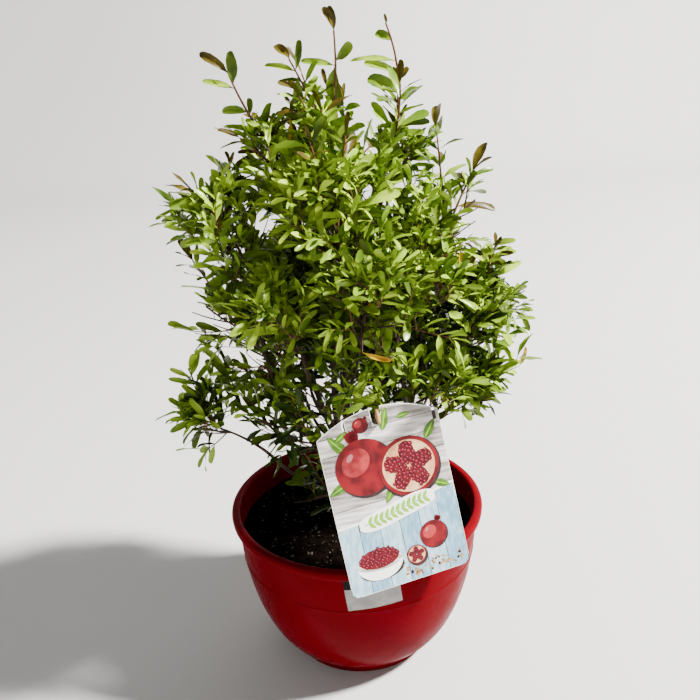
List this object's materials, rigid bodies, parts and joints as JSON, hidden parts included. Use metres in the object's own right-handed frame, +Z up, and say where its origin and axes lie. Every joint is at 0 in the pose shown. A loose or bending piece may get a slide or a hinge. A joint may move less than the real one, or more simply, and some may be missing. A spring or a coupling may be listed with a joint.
{
  "type": "potted pomegranate shrub",
  "caption": "Young bushy pomegranate shrub of fine upright twigs and small narrow leaves, standing in a round bowl pot of soil, with a picture card hung low on a cut twig.",
  "frame": {"origin": "middle of the pot's flat underside", "axes": "+Z up along the pot's axis, -Y towards the front, where the card hangs, +X to the right"},
  "size_m": [0.3215, 0.2745, 0.5804],
  "materials": {
    "pot": "glossy red",
    "soil": "rough dark earth",
    "bark": "thin grey-brown bark",
    "foliage": "satin leaves",
    "card": "printed card"
  },
  "bodies": {
    "root": {"bough_foot_sprout": "bark", "bough_low_back": "bark", "bough_low_back_left": "bark", "bough_low_back_right": "bark", "bough_low_front": "bark", "bough_low_front_left": "bark", "bough_low_front_right": "bark", "bough_low_left": "bark", "bough_low_right": "bark", "bough_middle_back": "bark", "bough_middle_back_left": "bark", "bough_middle_back_right": "bark", "bough_middle_front": "bark", "bough_middle_front_left": "bark", "bough_middle_front_right": "bark", "bough_middle_left": "bark", "bough_middle_right": "bark", "bough_top_left": "bark", "bough_top_middle": "bark", "bough_top_right": "bark", "bough_upper_back": "bark", "bough_upper_front": "bark", "bough_upper_left": "bark", "bough_upper_right": "bark", "cut_stub": "bark", "foliage_foot_sprout": "foliage", "foliage_low_back": "foliage", "foliage_low_back_left": "foliage", "foliage_low_back_right": "foliage", "foliage_low_front": "foliage", "foliage_low_front_left": "foliage", "foliage_low_front_right": "foliage", "foliage_low_left": "foliage", "foliage_low_right": "foliage", "foliage_middle_back": "foliage", "foliage_middle_back_left": "foliage", "foliage_middle_back_right": "foliage", "foliage_middle_front": "foliage", "foliage_middle_front_left": "foliage", "foliage_middle_front_right": "foliage", "foliage_middle_left": "foliage", "foliage_middle_right": "foliage", "foliage_top_left": "foliage", "foliage_top_middle": "foliage", "foliage_top_right": "foliage", "foliage_upper_back": "foliage", "foliage_upper_front": "foliage", "foliage_upper_left": "foliage", "foliage_upper_right": "foliage", "main_stem": "bark", "picture_card": "card", "pot": "pot", "soil": "soil"}
  },
  "joints": []
}
